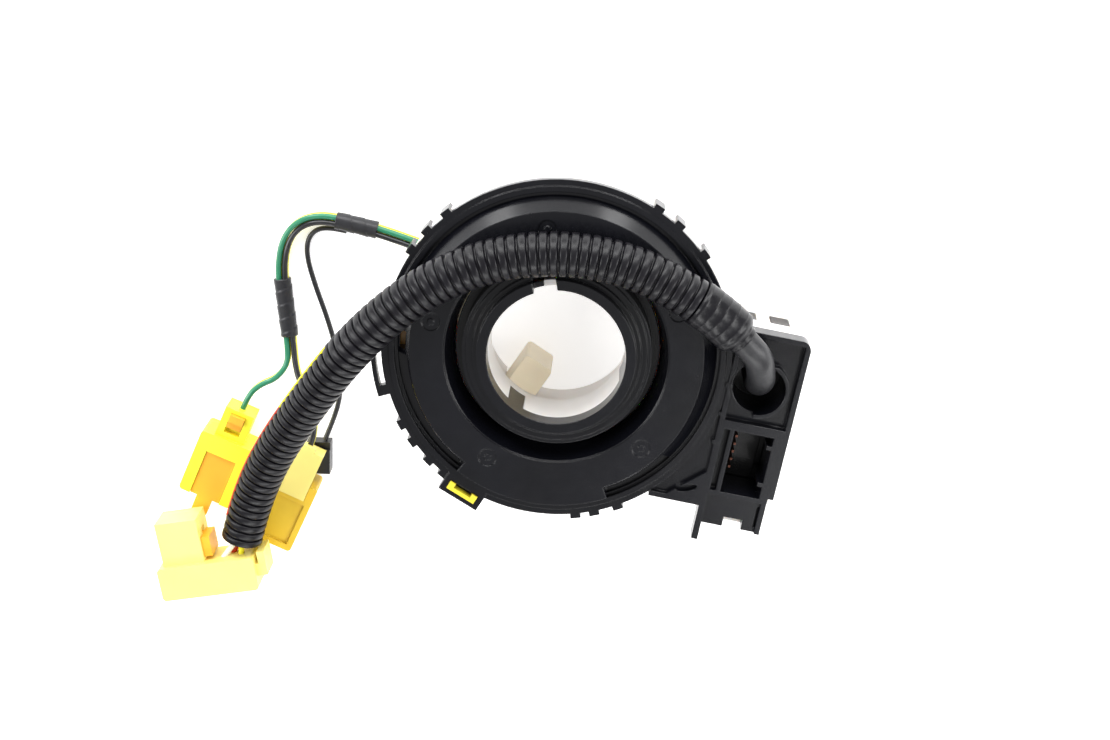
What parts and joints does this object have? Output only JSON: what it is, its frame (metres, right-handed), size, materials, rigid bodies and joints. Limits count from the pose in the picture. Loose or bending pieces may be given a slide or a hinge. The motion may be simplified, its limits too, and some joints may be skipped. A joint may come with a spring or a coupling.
{
  "type": "steering clock spring",
  "caption": "Steering clock spring with a two-part case, a turning hub, a wound flat ribbon inside, a ribbed conduit and wire tails with connectors.",
  "frame": {"origin": "on the axis of the steering shaft bore, at the surface that the part lies on, at the end face of the wheel-side collar", "axes": "+Z along the bore axis towards the steering column side, which faces up; +X from the bore axis towards the connector block, turned 12 degrees away from it; +Y completes the right-handed frame"},
  "size_m": [0.2034, 0.1378, 0.0533],
  "materials": {
    "black_case": "satin",
    "white_case": "satin",
    "cam_ring": "satin",
    "beige": "satin",
    "yellow_clip": "satin",
    "ribbon": "satin",
    "film": "satin",
    "tin_pins": "bright",
    "conduit": "ribbed",
    "shrink_sleeve": "satin",
    "wire_bundle": "matte",
    "tape": "satin",
    "pale_yellow": "satin",
    "bright_yellow": "satin",
    "dark_yellow": "satin",
    "orange": "satin",
    "black_connector": "satin",
    "wire_yellow": "satin",
    "wire_green": "satin",
    "wire_black": "satin",
    "wire_white": "satin",
    "wire_red": "satin"
  },
  "bodies": {
    "stator": {"rear_case": "black_case", "front_case": "white_case", "terminal_header": "black_case", "header_pins": "tin_pins", "stator_lead_block": "white_case", "rim_clip": "yellow_clip", "ribbon_cable": "ribbon", "slide_film_rear": "film", "conduit": "conduit", "conduit_sleeve": "shrink_sleeve", "cable_neck": "wire_bundle", "floor_connector": "pale_yellow", "floor_wire_white": "wire_white", "floor_wire_red": "wire_red", "floor_wire_yellow": "wire_yellow"},
    "rotor": {"rotor_hub": "white_case", "cancel_cam_ring": "cam_ring", "rotor_lead_block": "beige", "slide_film_front": "film", "wheel_socket": "beige", "wheel_socket_pins": "tin_pins", "wire_exit_cover": "black_case", "yellow_wire_a": "wire_yellow", "yellow_wire_b": "wire_yellow", "green_wire": "wire_green", "black_wire": "wire_black", "horn_wire": "wire_black", "tape_wrap_upper": "tape", "tape_wrap_lower": "tape", "squib_left_body": "bright_yellow", "squib_left_terminals": "tin_pins", "squib_right_plug": "pale_yellow", "squib_right_housing": "dark_yellow", "squib_right_terminals": "tin_pins", "horn_connector": "black_connector"},
    "squib_lock": {"squib_left_lock": "orange"},
    "connector_lock": {"floor_connector_lock": "orange"}
  },
  "joints": [
    {"name": "rotor_turn", "type": "hinge", "parent": "stator", "child": "rotor", "pos_m": [0, 0, 0], "axis": [0, 0, 1], "range_deg": [-900, 900]},
    {"name": "squib_lock_slide", "type": "slide", "parent": "rotor", "child": "squib_lock", "axis": [-0.4226, -0.9063, 0], "range_m": [0, 0.0018]},
    {"name": "connector_lock_slide", "type": "slide", "parent": "stator", "child": "connector_lock", "axis": [-0.1392, 0.9903, 0], "range_m": [0, 0.002]}
  ]
}
